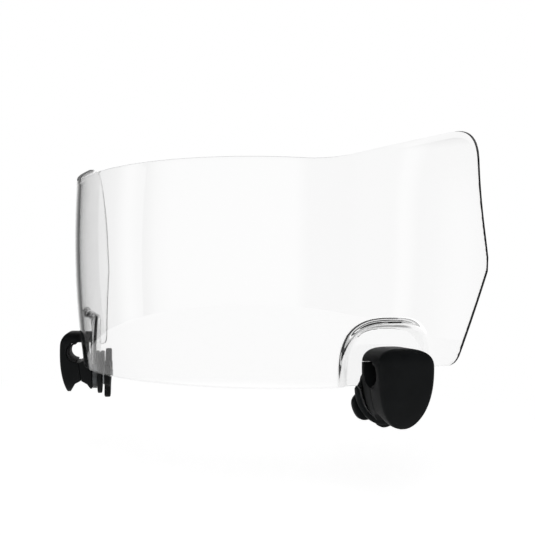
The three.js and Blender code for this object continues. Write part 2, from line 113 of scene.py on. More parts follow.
def selectVertices(piece, test):  # in edit mode, by a test on their place
    leaveEdit()
    mesh = piece.data
    for group in (mesh.polygons, mesh.edges, mesh.vertices):
        group.foreach_set("select", [False] * len(group))
    for vertex in mesh.vertices:
        vertex.select = bool(test(vertex.co))
    bpy.ops.object.mode_set(mode="EDIT")
    bpy.ops.mesh.select_mode(type="VERT")


def applyModifier(piece, kind, settings):
    selectOnly(piece)
    modifier = piece.modifiers.new(kind.lower(), kind)
    for key, value in settings.items():
        setattr(modifier, key, value)
    bpy.ops.object.modifier_apply(modifier=modifier.name)


def roundEdges(piece, sizes, material=-1):  # every edge sharper than the piece's edge angle, in degrees
    applyModifier(piece, "BEVEL", {
        "width": sizes["edgeRound"] * mm, "segments": sizes["edgeSegments"], "limit_method": "ANGLE",
        "angle_limit": math.radians(sizes["edgeAngle"]), "material": material,
    })


def applyPlace():  # the new piece's place, turn and size go into its mesh
    bpy.ops.object.transform_apply(location=True, rotation=True, scale=True)


def turnMesh(piece, matrix):
    piece.data.transform(matrix)
    piece.data.update()


def removePiece(piece):
    bpy.data.objects.remove(piece, do_unlink=True)


def copyPiece(piece, name):
    copied = piece.copy()
    copied.data = piece.data.copy()
    copied.name = name
    bpy.context.scene.collection.objects.link(copied)
    return copied


def cutBy(piece, cutter, operation="DIFFERENCE"):  # and the cutter is used up
    applyModifier(piece, "BOOLEAN", {"object": cutter, "operation": operation, "solver": "EXACT"})
    removePiece(cutter)


def tidyFaces(piece):  # merges doubles and turns every face outwards
    editPiece(piece)
    bpy.ops.mesh.remove_doubles(threshold=0.002 * mm)
    bpy.ops.mesh.dissolve_degenerate(threshold=0.001 * mm)
    bpy.ops.mesh.normals_make_consistent(inside=False)
    leaveEdit()


# a filled outline of (across, up) at a distance out from the clamp's own zero, in mm
def outlineFace(name, points, out):
    bpy.ops.mesh.primitive_circle_add(vertices=len(points), radius=mm, fill_type="NGON")
    piece = bpy.context.object
    piece.name = name
    for vertex, (across, up) in zip(piece.data.vertices, points):
        vertex.co = Vector((across, -out, up)) * mm
    piece.data.update()
    return piece


def extrudeOutline(piece, depth):  # straight out, by depth in mm
    editPiece(piece)
    bpy.ops.mesh.extrude_region_move(TRANSFORM_OT_translate={"value": (0, -depth * mm, 0)})
    bpy.ops.mesh.select_all(action="SELECT")
    bpy.ops.mesh.normals_make_consistent(inside=False)
    leaveEdit()


def mix(a, b, share):
    return a + (b - a) * share


def roundShare(share, power):  # height of a superellipse, 1 at its middle and 0 at its ends
    return max(0.0, 1 - min(1.0, abs(share)) ** power) ** (1 / power)


# camera
# placed from the photograph: well round to the wearer's left of the front, below half the lens's height
camera = {
    "place": (178.246, -216.362, 37.553),
    "heading": 30.397,
    "tilt": 91.929,
    "roll": 0.681,
    "lens": 47.09,
    "sensorWidth": 36.0,
    "clip": (0.005, 20.0),
}


def makeCamera():
    data = bpy.data.cameras.new("photo_camera")
    data.lens = camera["lens"]
    data.sensor_width = camera["sensorWidth"]
    data.clip_start, data.clip_end = camera["clip"]
    eye = bpy.data.objects.new("photo_camera", data)
    bpy.context.scene.collection.objects.link(eye)
    matrix = Matrix.Translation(Vector(camera["place"]) * mm)
    for name, axis in (("heading", "Z"), ("tilt", "X"), ("roll", "Z")):
        matrix = matrix @ Matrix.Rotation(math.radians(camera[name]), 4, axis)
    eye.matrix_world = matrix
    bpy.context.scene.camera = eye


makeCamera()
print("camera placed")

# finishes
polycarbonateIor = 1.586


# Clear polycarbonate sheet, bent hot and polished: glassy, with the faintest long waves from bending
def makeClearPolycarbonate():
    material, tree, shader, place = newMaterial("clearPolycarbonate", {
        "Base Color": white, "Roughness": 0.012, "IOR": polycarbonateIor, "Transmission Weight": 1.0,
    })
    stretch = addNode(tree, "ShaderNodeMapping", {"Scale": (1.0, 1.0, 0.25)}, {"Vector": place})
    waves = addNode(tree, "ShaderNodeTexNoise", {"Scale": marksOf(22.2), "Detail": 1.0}, {
        "Vector": stretch.outputs[0],
    })
    bump = addNode(tree, "ShaderNodeBump", {"Strength": 0.25, "Distance": 0.12 * mm}, {
        "Height": waves.outputs["Fac"],
    })
    linkInputs(tree, shader, {"Normal": bump.outputs["Normal"]})
    return material


# The sheet's sawn and flamed rim: the same plastic, less clear, so that it draws a thin dark line round the
# lens;
# its grey to near-black tint and lost clearness, darkest at the rear ends, are painted shade
def makeCutEdge():
    material, tree, shader, place = newMaterial("cutRimPaintedShade", {
        "IOR": polycarbonateIor, "Roughness": 0.35, "Specular IOR Level": 0.2,
    })
    marks = addNode(tree, "ShaderNodeTexNoise", {"Scale": marksOf(1.43), "Detail": 2.0}, {"Vector": place})
    # painted shade: the tint deepens and the clearness falls from the front towards the rear ends, with faint
    # random marks
    split = addNode(tree, "ShaderNodeSeparateXYZ", None, {0: place})
    rear = addNode(tree, "ShaderNodeMapRange", {
        "From Min": 45 * mm, "From Max": 68 * mm, "To Min": 0.0, "To Max": 0.9,
    }, {"Value": split.outputs["Y"]})
    dark = addNode(tree, "ShaderNodeMath", {"operation": "MULTIPLY_ADD", 1: 0.1}, {
        0: marks.outputs["Fac"], 2: rear.outputs[0],
    })
    tint = addNode(tree, "ShaderNodeValToRGB", {
        "stops": [(0.03, hexColor("#6a6f72")), (0.9, hexColor("#08090a"))],
    }, {"Fac": dark.outputs[0]})
    clear = addNode(tree, "ShaderNodeMapRange", {"To Min": 0.85, "To Max": 0.1}, {"Value": rear.outputs[0]})
    linkInputs(tree, shader, {"Base Color": tint.outputs["Color"], "Transmission Weight": clear.outputs[0]})
    return material


# The outer face just beside the sawn rear ends: painted shade, near black from outside, for the dark band
# that the rim draws there; from within it is clear
def makeRimMargin():
    material, tree, shader, place = newMaterial("rimMarginPaintedShade", {
        "IOR": polycarbonateIor, "Roughness": 0.1, "Specular IOR Level": 0.2,
    })
    within = addNode(tree, "ShaderNodeNewGeometry").outputs["Backfacing"]
    marks = addNode(tree, "ShaderNodeTexNoise", {"Scale": marksOf(2.0), "Detail": 2.0}, {"Vector": place})
    # painted shade: near black, with a little random tone
    paintedMarginShade = addNode(tree, "ShaderNodeValToRGB", {
        "stops": [(0.3, hexColor("#050606")), (0.7, hexColor("#0d0e0f"))],
    }, {"Fac": marks.outputs["Fac"]})
    tint = addNode(tree, "ShaderNodeMixRGB", {"Color2": white}, {
        "Fac": within, "Color1": paintedMarginShade.outputs["Color"],
    })
    linkInputs(tree, shader, {"Base Color": tint.outputs["Color"], "Transmission Weight": within})
    return material


# Glass-filled nylon, moulded in spark-eroded tools: a dark matte skin with flow marks and a fine even grain
def makeMouldedNylon(name, dark, pale, roughFrom, roughTo):
    material, tree, shader, place = newMaterial(name, {"IOR": 1.53, "Specular IOR Level": 0.12})
    flow = addNode(tree, "ShaderNodeTexNoise", {"Scale": marksOf(6.25), "Detail": 4.0}, {"Vector": place})
    tint = addNode(tree, "ShaderNodeValToRGB", {
        "stops": [(0.35, hexColor(dark)), (0.65, hexColor(pale))],
    }, {"Fac": flow.outputs["Fac"]})
    rough = addNode(tree, "ShaderNodeMapRange", {"To Min": roughFrom, "To Max": roughTo}, {
        "Value": flow.outputs["Fac"],
    })
    # the real grain is about 0.1 mm and would not show, so it is drawn coarser
    grain = addNode(tree, "ShaderNodeTexNoise", {"Scale": marksOf(0.3125), "Detail": 2.0}, {"Vector": place})
    bump = addNode(tree, "ShaderNodeBump", {"Strength": 0.35, "Distance": 0.03 * mm}, {
        "Height": grain.outputs["Fac"],
    })
    linkInputs(tree, shader, {
        "Base Color": tint.outputs["Color"],
        "Roughness": rough.outputs["Result"],
        "Normal": bump.outputs["Normal"],
    })
    return material


# Black rubber, pressed and a little dusty: soft, almost no shine
def makeRubber():
    material, tree, shader, place = newMaterial("pressedRubber", {"IOR": 1.52, "Specular IOR Level": 0.35})
    dust = addNode(tree, "ShaderNodeTexNoise", {"Scale": marksOf(2.38), "Detail": 5.0}, {"Vector": place})
    tint = addNode(tree, "ShaderNodeValToRGB", {
        "stops": [(0.3, hexColor("#1b1b1c")), (0.75, hexColor("#29292a"))],
    }, {"Fac": dust.outputs["Fac"]})
    rough = addNode(tree, "ShaderNodeMapRange", {"To Min": 0.66, "To Max": 0.84}, {
        "Value": dust.outputs["Fac"],
    })
    bump = addNode(tree, "ShaderNodeBump", {"Strength": 0.3, "Distance": 0.04 * mm}, {
        "Height": dust.outputs["Fac"],
    })
    linkInputs(tree, shader, {
        "Base Color": tint.outputs["Color"],
        "Roughness": rough.outputs["Result"],
        "Normal": bump.outputs["Normal"],
    })
    return material


# Metal turned on a lathe and handled since: bright, with small specks and fine marks in its gloss
def makeTurnedMetal(name, dark, pale, roughFrom, roughTo):
    material, tree, shader, place = newMaterial(name, {"Metallic": 1.0})
    specks = addNode(tree, "ShaderNodeTexNoise", {"Scale": marksOf(1.11), "Detail": 3.0}, {"Vector": place})
    tint = addNode(tree, "ShaderNodeValToRGB", {
        "stops": [(0.35, hexColor(dark)), (0.7, hexColor(pale))],
    }, {"Fac": specks.outputs["Fac"]})
    rough = addNode(tree, "ShaderNodeMapRange", {"To Min": roughFrom, "To Max": roughTo}, {
        "Value": specks.outputs["Fac"],
    })
    # real tool marks are under 0.1 mm, so they too are drawn coarser
    scratch = addNode(tree, "ShaderNodeTexNoise", {"Scale": marksOf(0.385), "Detail": 2.0}, {"Vector": place})
    bump = addNode(tree, "ShaderNodeBump", {"Strength": 0.15, "Distance": 0.02 * mm}, {
        "Height": scratch.outputs["Fac"],
    })
    linkInputs(tree, shader, {
        "Base Color": tint.outputs["Color"],
        "Roughness": rough.outputs["Result"],
        "Normal": bump.outputs["Normal"],
    })
    return material


finishes = {
    "clear": makeClearPolycarbonate(),
    "rim": makeCutEdge(),
    "margin": makeRimMargin(),
    "black": makeMouldedNylon("mouldedBlackNylon", "#121415", "#181a1b", 0.42, 0.56),
    "grey": makeMouldedNylon("mouldedGreyNylon", "#1b1d1e", "#242627", 0.45, 0.6),
    "rubber": makeRubber(),
    "steel": makeTurnedMetal("zincPlatedSteel", "#a3a6a8", "#c2c5c7", 0.24, 0.4),
    "brass": makeTurnedMetal("turnedBrass", "#9c7f41", "#c0a25d", 0.26, 0.42),
}
print("finishes made:", len(finishes))


def finishPiece(piece, name, body, node, angle):  # edges below the angle, in degrees, shade smooth
    piece.name = name
    piece.data.name = name
    selectOnly(piece)
    bpy.ops.object.shade_smooth_by_angle(angle=math.radians(angle))
    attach(piece, body)
    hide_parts(node)


# lens
# lengths in mm, along the sheet and up it, and angles in degrees: the CAD's sizes but for the seat's top and
# the inner face of its wall
lens = {
    "sheet": {  # the curve that it is bent to
        "thickness": 2.0,
        "edgeRound": 0.92,
        "edgeSegments": 3,
        "edgeAngle": 60,
        "centreHeight": 89.0,
        "frontRadius": 118.6,  # plan radius at the middle
        "templeRadius": 95.5,  # tightest plan radius
        "templeArc": 72.6,
        "verticalRadius": 422.0,
        "bulgeUp": 68.8,  # height of the most forward line
        "flareOut": 5.6,  # outward turn of the upper rear corners
        "flareArc": 60.0,
        "flareUp": 62.0,
        "flarePower": 2.4,
        "smoothAngle": 40,
    },
    "edge": {  # its outline: places as (along, up), and how far each corner is rounded
        "browArc": 71.6,
        "browDip": 1.1,
        "browBlend": 9.0,
        "topCorner": (138.5, 106.6),
        "topBlend": 14.0,
        "knee": (149.6, 49.0),
        "kneeBlend": 3.0,
        "kneeInset": 0.75,  # how far the last column stays inside the knee
        "lowCorner": (134.3, 7.8),
        "lowBlend": 5.0,
        "chinRise": 1.2,
        "shadedMarginWidth": 1.3,  # width of the outer face beside the rear ends that carries painted shade
    },
    "seat": {  # the pressed seat of a clamp and the tab below it
        "arc": 99.4,
        "out": -9.0,
        "turn": 5.6,
        "frontHalfWidth": 18.0,
        "rearHalfWidth": 17.3,
        "top": 23.1,
        "shoulderUp": 4.0,
        "frontBlend": 5.6,
        "rearBlend": 1.5,
        "topBlend": 2.7,
        "backLift": 0.8,
        "backSoftness": 1.7,
        "tabHalfWidth": 12.6,
        "tabDrop": 12.6,
        "tabBlend": 2.0,
        "archPower": 3.0,
        "tabPower": 2.2,
    },
    "grid": {  # how close its columns and rows stand: steps, and counts
        "planSteps": 1200,
        "frontStep": 1.5,
        "wallStep": 0.4,
        "seatStep": 0.45,
        "rootStep": 0.3,
        "tabColumns": 44,
        "rearStep": 0.25,
        "rearColumns": 36,
        "rearPower": 1.8,
        "wallReach": 1.5,  # widths of a wall that the close columns take in
        "rearReach": 3,
        "footRows": 15,
        "lowStep": 1.1,
        "archStep": 0.35,
        "archBelow": 2.0,  # where the close rows start, under the seat's top
        "archReach": 2,
        "highRows": 30,
        "crowdShare": 0.2,  # height of the seat's rows, at the least, of the column's height
        "bendSteps": 16,
        "tabSteps": 60,
    },
}
sheet, edge, seat, grid = lens.values()

# holes for the stud and recesses for the gaskets, round the screw axis, and the far ends of their cuts
stud = {
    "up": -4.9,
    "wayRadius": 2.4,
    "recessRadius": 4.0,
    "sides": 48,
    "innerEnd": -20.0,
    "outerEnd": 0.0,
}


def planCurve(length, steps):  # the sheet seen from above, as places and angles along it
    places = [(0.0, 0.0, 0.0)]
    step = length / steps
    front = 1 / sheet["frontRadius"]
    for i in range(steps):
        x, y, angle = places[-1]
        tight = ((i + 0.5) * step / sheet["templeArc"]) ** 2
        turn = (front + (1 / sheet["templeRadius"] - front) * tight * (2 - tight)) * step
        middle = angle + turn / 2
        places.append((x + step * math.cos(middle), y + step * math.sin(middle), angle + turn))
    return places, step


planPlaces, planStep = planCurve(edge["knee"][0], grid["planSteps"])


def planAt(arc):
    place = min(abs(arc) / planStep, grid["planSteps"] - tiny)
    i = int(place)
    return [mix(a, b, place - i) for a, b in zip(planPlaces[i], planPlaces[i + 1])]


clampX, clampY, clampAngle = planAt(seat["arc"])
clampAngle -= math.radians(seat["turn"])


def clampMatrix(side):  # from the clamp's own frame to its place on the visor
    turn = Matrix.Rotation(side * clampAngle, 4, "Z")
    return Matrix.Translation((side * clampX * mm, clampY * mm, 0)) @ turn


# 1 on the seat and 0 on the plain sheet, with a softer wall between them on the inner face than on the outer
def seatShareAt(along, up, inward):
    rise = max(0.0, up - seat["shoulderUp"])
    power = seat["archPower"]

    def measure(width, height):
        return ((abs(along) / width) ** power + (rise / height) ** power) ** (1 / power)

    end = "front" if along < 0 else "rear"
    halfWidth, height = seat[end + "HalfWidth"], seat["top"] - seat["shoulderUp"] + seat["backLift"] * inward
    softer = seat["backSoftness"] * inward
    inside = measure(halfWidth, height) - 1
    outside = 1 - measure(halfWidth + seat[end + "Blend"] + softer, height + seat["topBlend"] + softer)
    if inside <= 0:
        return 1.0
    if outside <= 0:
        return 0.0
    share = inside / (inside + outside)
    return 1 - share * share * (3 - 2 * share)


def sheetPoint(arc, up, inward=0):  # a place on the outer face, or with 1 on the inner face, in mm
    x, y, angle = planAt(arc)
    dx, dy = x - clampX, y - clampY
    along = dx * math.cos(clampAngle) + dy * math.sin(clampAngle)
    curveOut = dx * math.sin(clampAngle) - dy * math.cos(clampAngle)
    cornerArc, cornerUp = edge["topCorner"]
    alongShare = max(0.0, (abs(arc) - sheet["flareArc"]) / (cornerArc - sheet["flareArc"]))
    upShare = max(0.0, (up - sheet["flareUp"]) / (cornerUp - sheet["flareUp"]))
    flare = sheet["flareOut"] * alongShare ** 2 * upShare ** sheet["flarePower"]
    plainOut = flare - (up - sheet["bulgeUp"]) ** 2 / (2 * sheet["verticalRadius"])
    seatOut = (seat["out"] - curveOut) / math.cos(angle - clampAngle)
    out = mix(plainOut, seatOut, seatShareAt(along, up, inward)) - sheet["thickness"] * inward
    side = 1 if arc >= 0 else -1
    return Vector((side * (x + out * math.sin(angle)), y - out * math.cos(angle), up))


def bendTo(points, control, end):  # a rounded stretch from the last point, round a control point
    start = points[-1]
    for i in range(1, grid["bendSteps"] + 1):
        t = i / grid["bendSteps"]
        points.append(tuple(
            (1 - t) ** 2 * s + 2 * t * (1 - t) * c + t * t * e for s, c, e in zip(start, control, end)
        ))


def cornerTo(points, corner, after, blend):  # straight on, and round a corner towards the next one
    corner, after, before = Vector(corner), Vector(after), Vector(points[-1])
    start = corner - (corner - before).normalized() * blend
    end = corner + (after - corner).normalized() * blend
    points.append(tuple(start))
    bendTo(points, tuple(corner), tuple(end))


def tabOutline():  # from its front side down round its foot and up its rear side
    rootUp = edge["lowCorner"][1] - seat["tabBlend"]
    points = []
    for i in range(grid["tabSteps"] + 1):
        along = seat["tabHalfWidth"] * math.sin(math.pi * (i / grid["tabSteps"] - 0.5))
        reach = roundShare(along / seat["tabHalfWidth"], seat["tabPower"])
        points.append((seat["arc"] + along, rootUp - (rootUp + seat["tabDrop"]) * reach))
    while points[0][1] > edge["chinRise"] - seat["tabBlend"]:
        points.pop(0)
    return points


def lowerEdge():
    tabFront = seat["arc"] - seat["tabHalfWidth"]
    tabRear = seat["arc"] + seat["tabHalfWidth"]
    rootFront, rootRear = tabFront - seat["tabBlend"], tabRear + seat["tabBlend"]
    cornerUp = edge["lowCorner"][1]
    tab = tabOutline()
    points = [(0.0, 0.0)]
    bendTo(points, (rootFront / 2, 0.0), (rootFront, edge["chinRise"]))
    bendTo(points, (tabFront, edge["chinRise"]), tab[0])
    points += tab[1:]
    bendTo(points, (tabRear, cornerUp), (rootRear, cornerUp))
    cornerTo(points, edge["lowCorner"], edge["knee"], edge["lowBlend"])
    cornerTo(points, edge["knee"], edge["topCorner"], edge["kneeBlend"])
    return points


def upperEdge():
    top = sheet["centreHeight"]
    browUp = top - edge["browDip"]
    browStart = edge["browArc"] - edge["browBlend"]
    points = [(0.0, top)]
    bendTo(points, (browStart / 2, top), (browStart, browUp))
    cornerTo(points, (edge["browArc"], browUp), edge["topCorner"], edge["browBlend"])
    cornerTo(points, edge["topCorner"], edge["knee"], edge["topBlend"])
    cornerTo(points, edge["knee"], edge["lowCorner"], edge["kneeBlend"])
    return points


def heightOn(points, arc):
    for (a, low), (b, high) in zip(points, points[1:]):
        if b >= arc:
            return mix(low, high, min(1.0, max(0.0, (arc - a) / max(b - a, tiny))))
    return points[-1][1]


def spread(start, end, step):  # evenly spaced places from start, up to but without end
    count = max(1, round((end - start) / step))
    return [start + (end - start) * i / count for i in range(count)]


# where the columns stand on one half: close together at the walls of the seat and at the rear end
def halfColumns():
    middle, tab, count = seat["arc"], seat["tabHalfWidth"], grid["tabColumns"]
    front, back = middle - seat["frontHalfWidth"], middle + seat["rearHalfWidth"]
    wall, root = grid["wallReach"] * seat["frontBlend"], grid["wallReach"] * seat["tabBlend"]
    arcs = spread(0.0, front - wall, grid["frontStep"])
    arcs += spread(front - wall, front, grid["wallStep"])
    arcs += spread(front, middle - tab - root, grid["seatStep"])
    arcs += spread(middle - tab - root, middle - tab, grid["rootStep"])
    arcs += [middle + tab * math.sin(math.pi * (i / count - 0.5)) for i in range(count)]
    arcs += spread(middle + tab, middle + tab + root, grid["rootStep"])
    arcs += spread(middle + tab + root, back, grid["seatStep"])
    rear, tip = back + grid["rearReach"] * seat["rearBlend"], edge["knee"][0] - edge["kneeInset"]
    arcs += spread(back, rear, grid["rearStep"])
    count = grid["rearColumns"]
    arcs += [tip - (tip - rear) * (1 - i / count) ** grid["rearPower"] for i in range(count + 1)]
    return arcs


# one column's rows: the same at every column near the seat, crowded up at the rear
def columnHeights(bottom, top):
    corner, arch = edge["lowCorner"][1], seat["top"] - grid["archBelow"]
    aboveSeat = seat["top"] + grid["archReach"] * seat["topBlend"]
    foot, count = max(bottom, corner), grid["footRows"]
    heights = [mix(bottom, foot, i / count) for i in range(count)]
    heights += spread(corner, arch, grid["lowStep"])
    heights += spread(arch, aboveSeat, grid["archStep"])
    crowd = grid["crowdShare"] * (top - bottom) / len(heights)
    ups = [max(up, bottom + row * crowd) for row, up in enumerate(heights)]
    start, count = max(aboveSeat, ups[-1] + crowd), grid["highRows"]
    ups += [mix(start, top, i / count) for i in range(count + 1)]
    return ups


def rearGap(arc, up):  # how far a place on the sheet lies from the cut rear end
    place = Vector((abs(arc), up))
    gaps = []
    for start, end in ((edge["lowCorner"], edge["knee"]), (edge["knee"], edge["topCorner"])):
        start, run = Vector(start), Vector(end) - Vector(start)
        share = min(1.0, max(0.0, (place - start).dot(run) / run.length_squared))
        gaps.append((place - start - run * share).length)
    return min(gaps)


def addCylinder(name, radius, outFrom, outTo, sides=roundSides):  # along the screw axis, in mm
    bpy.ops.mesh.primitive_cylinder_add(
        vertices=sides, radius=radius * mm, depth=(outTo - outFrom) * mm,
        location=(0, -(outFrom + outTo) / 2 * mm, stud["up"] * mm), rotation=(math.pi / 2, 0, 0),
    )
    bpy.context.object.name = name
    applyPlace()
    return bpy.context.object


def studWay(outTo):
    return addCylinder("stud_way", stud["wayRadius"], stud["innerEnd"], outTo, stud["sides"])


def gasketRecess(outFrom, outTo):
    return addCylinder("gasket_recess", stud["recessRadius"], outFrom, outTo, stud["sides"])


# bends the flat grid, from -1 to 1 both ways, onto the sheet's outer face, and gives each vertex's place
def bendGrid(shell, arcs, columns):
    places = []
    lastColumn, lastRow = len(arcs) - 1, len(columns[0]) - 1
    for vertex in shell.data.vertices:
        column = round((vertex.co.x + 1) / 2 * lastColumn)
        row = round((vertex.co.y + 1) / 2 * lastRow)
        places.append((arcs[column], columns[column][row]))
        vertex.co = sheetPoint(*places[-1]) * mm
    shell.data.update()
    if shell.data.polygons[len(shell.data.polygons) // 2].normal.y > 0:  # the outer face looks to the front
        shell.data.flip_normals()
    return places


def makeLens():
    low, high = lowerEdge(), upperEdge()
    half = halfColumns()
    arcs = [-arc for arc in reversed(half[1:])] + half
    columns = [columnHeights(heightOn(low, abs(arc)), heightOn(high, abs(arc))) for arc in arcs]
    bpy.ops.mesh.primitive_grid_add(x_subdivisions=len(arcs) - 1, y_subdivisions=len(columns[0]) - 1, size=2)
    shell = bpy.context.object
    places = bendGrid(shell, arcs, columns)
    # slots: the clear sheet, and the rim and margin finishes with their painted shade
    slots = ["clear", "rim", "margin"]
    for finish in slots:
        shell.data.materials.append(finishes[finish])
    applyModifier(shell, "SOLIDIFY", {
        "thickness": sheet["thickness"] * mm, "offset": -1.0, "material_offset_rim": slots.index("rim"),
    })
    for vertex, place in zip(shell.data.vertices[len(places):], places):  # the inner face
        vertex.co = sheetPoint(*place, 1) * mm
    # outer faces close to the rear ends take the margin's painted shade
    for face in shell.data.polygons:
        if max(face.vertices) < len(places) and rearGap(*places[face.vertices[0]]) < edge["shadedMarginWidth"]:
            face.material_index = slots.index("margin")
    roundEdges(shell, sheet, slots.index("rim"))
    for side in (1, -1):
        hole = studWay(stud["outerEnd"])
        turnMesh(hole, clampMatrix(side))
        cutBy(shell, hole)
    finishPiece(shell, "clear_lens", "visor", "lens", sheet["smoothAngle"])


makeLens()

# clamp jaws
# lofted from the tip up by extruding a rounded rectangle, then cut; out is away from the lens
jaw = {
    "halfWidth": 11.8,
    "widestUp": 9.0,
    "topUp": 16.2,
    "tipUp": -14.2,
    "faceOut": 6.9,
    "browOut": 1.0,  # where the rounded front meets the flat top
    "tipDraw": 3.6,  # how far the face draws in at the tip
    "edgeRadius": 1.5,
    "backRadius": 0.4,
    "splitOut": -2.25,
    "splitLean": 8.0,
    "sidePower": 2.2,
    "crownPower": 2.9,
    "browPower": 2.1,
    "drawPower": 2.6,
    "clearance": 0.3,
    "edgeRound": 0.35,
    "edgeSegments": 3,
    "edgeAngle": 38,
    "barOut": -1.3,
    "barUp": 6.1,
    "barRadius": 5.1,
    "slitUp": 10.6,
    "recessOut": -7.8,  # bottom of the gasket's recess
    "studWayOut": 1.2,
    "levels": 26,  # above the widest one, and as many below it
    "lastTurn": 86,
    "cornerSegments": 6,
    "notch": {  # between the feet, as (out, up) from the outer tip to the inner toe and past the back
        "outerTip": (2.0, -14.2),
        "outerToe": (0.1, -10.8),
        "outerBend": (-0.3, -9.8),
        "outerKnee": (-1.4, -9.2),
        "apex": (-3.3, -8.1),
        "innerKnee": (-6.3, -10.0),
        "innerToe": (-7.8, -12.45),
        "pastBack": (-20.2, -12.45),
    },
    "notchBelow": -19.2,  # where the notch's cut ends, past the tips
}
cutWidth = 4 * jaw["halfWidth"]  # past both sides of the clamp


def jawLevel(turn):  # half width, face, back and height of the jaws at a turn from the widest level
    power = jaw["sidePower"] if turn < 0 else jaw["crownPower"]
    reach = (jaw["tipUp"] if turn < 0 else jaw["topUp"]) - jaw["widestUp"]
    up = jaw["widestUp"] + reach * abs(math.sin(turn)) ** (2 / power)
    drawShare = max(0.0, (jaw["widestUp"] - up) / (jaw["widestUp"] - jaw["tipUp"]))
    browShare = max(0.0, (up - jaw["widestUp"]) / (jaw["topUp"] - jaw["widestUp"]))
    face = mix(jaw["browOut"], jaw["faceOut"], roundShare(browShare, jaw["browPower"]))
    face -= jaw["tipDraw"] * drawShare ** jaw["drawPower"]
    back = seat["out"] + jaw["clearance"]
    return jaw["halfWidth"] * math.cos(turn) ** (2 / power), face, back, up


def jawSection():  # the rounded rectangle that the jaws are extruded from, left in edit mode
    width, face, back, _ = jawLevel(0.0)
    middle = -(face + back) / 2 * mm
    bpy.ops.mesh.primitive_plane_add(size=1)
    blank = bpy.context.object
    blank.scale = (2 * width * mm, (face - back) * mm, 1)
    blank.location = (0, middle, 0)
    applyPlace()
    editPiece(blank)
    for front, radius in ((True, jaw["edgeRadius"]), (False, jaw["backRadius"])):
        selectVertices(blank, lambda place: (place.y < middle) == front)
        bpy.ops.mesh.bevel(offset=radius * mm, segments=jaw["cornerSegments"], affect="VERTICES")
    bpy.ops.mesh.select_all(action="SELECT")
    return blank


def loftJaw():
    count = jaw["levels"]
    levels = [jawLevel(math.radians(jaw["lastTurn"]) * i / count) for i in range(-count, count + 1)]
    blank = jawSection()
    lastWidth, lastFace, lastBack, _ = jawLevel(0.0)
    lastUp = 0.0
    for i, (width, face, back, up) in enumerate(levels):
        if i:
            bpy.ops.mesh.extrude_region_move(TRANSFORM_OT_translate={"value": (0, 0, 0)})
        centre = Vector((0, -(lastFace + lastBack) / 2, lastUp)) * mm
        sizes = (width / lastWidth, (face - back) / (lastFace - lastBack), 1)
        bpy.ops.transform.resize(value=sizes, center_override=centre)
        shift = (0, ((lastFace + lastBack) - (face + back)) / 2 * mm, (up - lastUp) * mm)
        bpy.ops.transform.translate(value=shift)
        lastWidth, lastFace, lastBack, lastUp = width, face, back, up
    bpy.ops.mesh.select_all(action="SELECT")
    bpy.ops.mesh.normals_make_consistent(inside=False)
    leaveEdit()
    return blank


def addRod(radius, width):  # right across the clamp, round the bar's own axis, in mm
    bpy.ops.mesh.primitive_cylinder_add(
        vertices=roundSides, radius=radius * mm, depth=width * mm,
        location=(0, -jaw["barOut"] * mm, jaw["barUp"] * mm), rotation=(0, math.pi / 2, 0),
    )
    applyPlace()
    return bpy.context.object


def barCutter():  # round, and square where the hook's flat roof meets the inner jaw's wall
    radius = jaw["barRadius"]
    hole = addRod(radius, cutWidth)
    bpy.ops.mesh.primitive_cube_add(size=1)
    corner = bpy.context.object
    corner.scale = (cutWidth * mm, radius * mm, radius * mm)
    corner.location = (0, (radius / 2 - jaw["barOut"]) * mm, (jaw["barUp"] + radius / 2) * mm)
    applyPlace()
    cutBy(hole, corner, "UNION")
    return hole


def notchCutter():  # a block with the notch's outline, right across the clamp
    places = list(jaw["notch"].values())
    points = [(places[0][0], jaw["notchBelow"]), *places, (places[-1][0], jaw["notchBelow"])]
    cutter = outlineFace("notch_cutter", [(-out, up) for out, up in points], -cutWidth / 2)
    extrudeOutline(cutter, cutWidth)
    turnMesh(cutter, Matrix.Rotation(math.pi / 2, 4, "Z"))
    tidyFaces(cutter)
    return cutter


def splitCutter(shift):  # the inner jaw's side of the leaning split, below the slit under the hook
    bpy.ops.mesh.primitive_cube_add(size=cutWidth * mm, location=(0, cutWidth / 2 * mm, 0))
    block = bpy.context.object
    applyPlace()
    turnMesh(block, Matrix.Rotation(math.radians(jaw["splitLean"]), 4, "X"))
    turnMesh(block, Matrix.Translation((0, -(jaw["splitOut"] + shift) * mm, 0)))
    editPiece(block)
    bpy.ops.mesh.bisect(
        plane_co=(0, 0, (jaw["slitUp"] + shift) * mm), plane_no=(0, 0, 1), use_fill=True, clear_outer=True,
    )
    leaveEdit()
    return block


def makeJaws():
    blank = loftJaw()
    cutBy(blank, barCutter())
    cutBy(blank, notchCutter())
    outer = copyPiece(blank, "outer")
    cutBy(outer, splitCutter(jaw["clearance"] / 2))
    inner = blank
    cutBy(inner, splitCutter(-jaw["clearance"] / 2), "INTERSECT")
    for piece in (outer, inner):
        cutBy(piece, gasketRecess(stud["innerEnd"], jaw["recessOut"]))
        cutBy(piece, studWay(jaw["studWayOut"]))
        tidyFaces(piece)
        roundEdges(piece, jaw)
    return outer, inner


outerJaw, innerJaw = makeJaws()
print("jaws made:", len(outerJaw.data.polygons), len(innerJaw.data.polygons), "faces")

# bar liner
liner = {
    "outer": 4.8,
    "inner": 4.1,
    "halfWidth": 11.2,
    "edgeRound": 0.12,
    "edgeSegments": 2,
    "edgeAngle": 50,
    "cutBack": 0.15,  # how far behind the bar's axis it ends
    "cutLean": 0.03,
}


def makeLiner():  # half a sleeve, open towards the lens
    sleeve = addRod(liner["outer"], 2 * liner["halfWidth"])
    cutBy(sleeve, addRod(liner["inner"], cutWidth))
    editPiece(sleeve)
    bpy.ops.mesh.bisect(
        plane_co=(0, (-jaw["barOut"] - liner["cutBack"]) * mm, 0), plane_no=(0, 1, liner["cutLean"]),
        use_fill=True, clear_outer=True,
    )
    leaveEdit()
    tidyFaces(sleeve)
    roundEdges(sleeve, liner)
    return sleeve


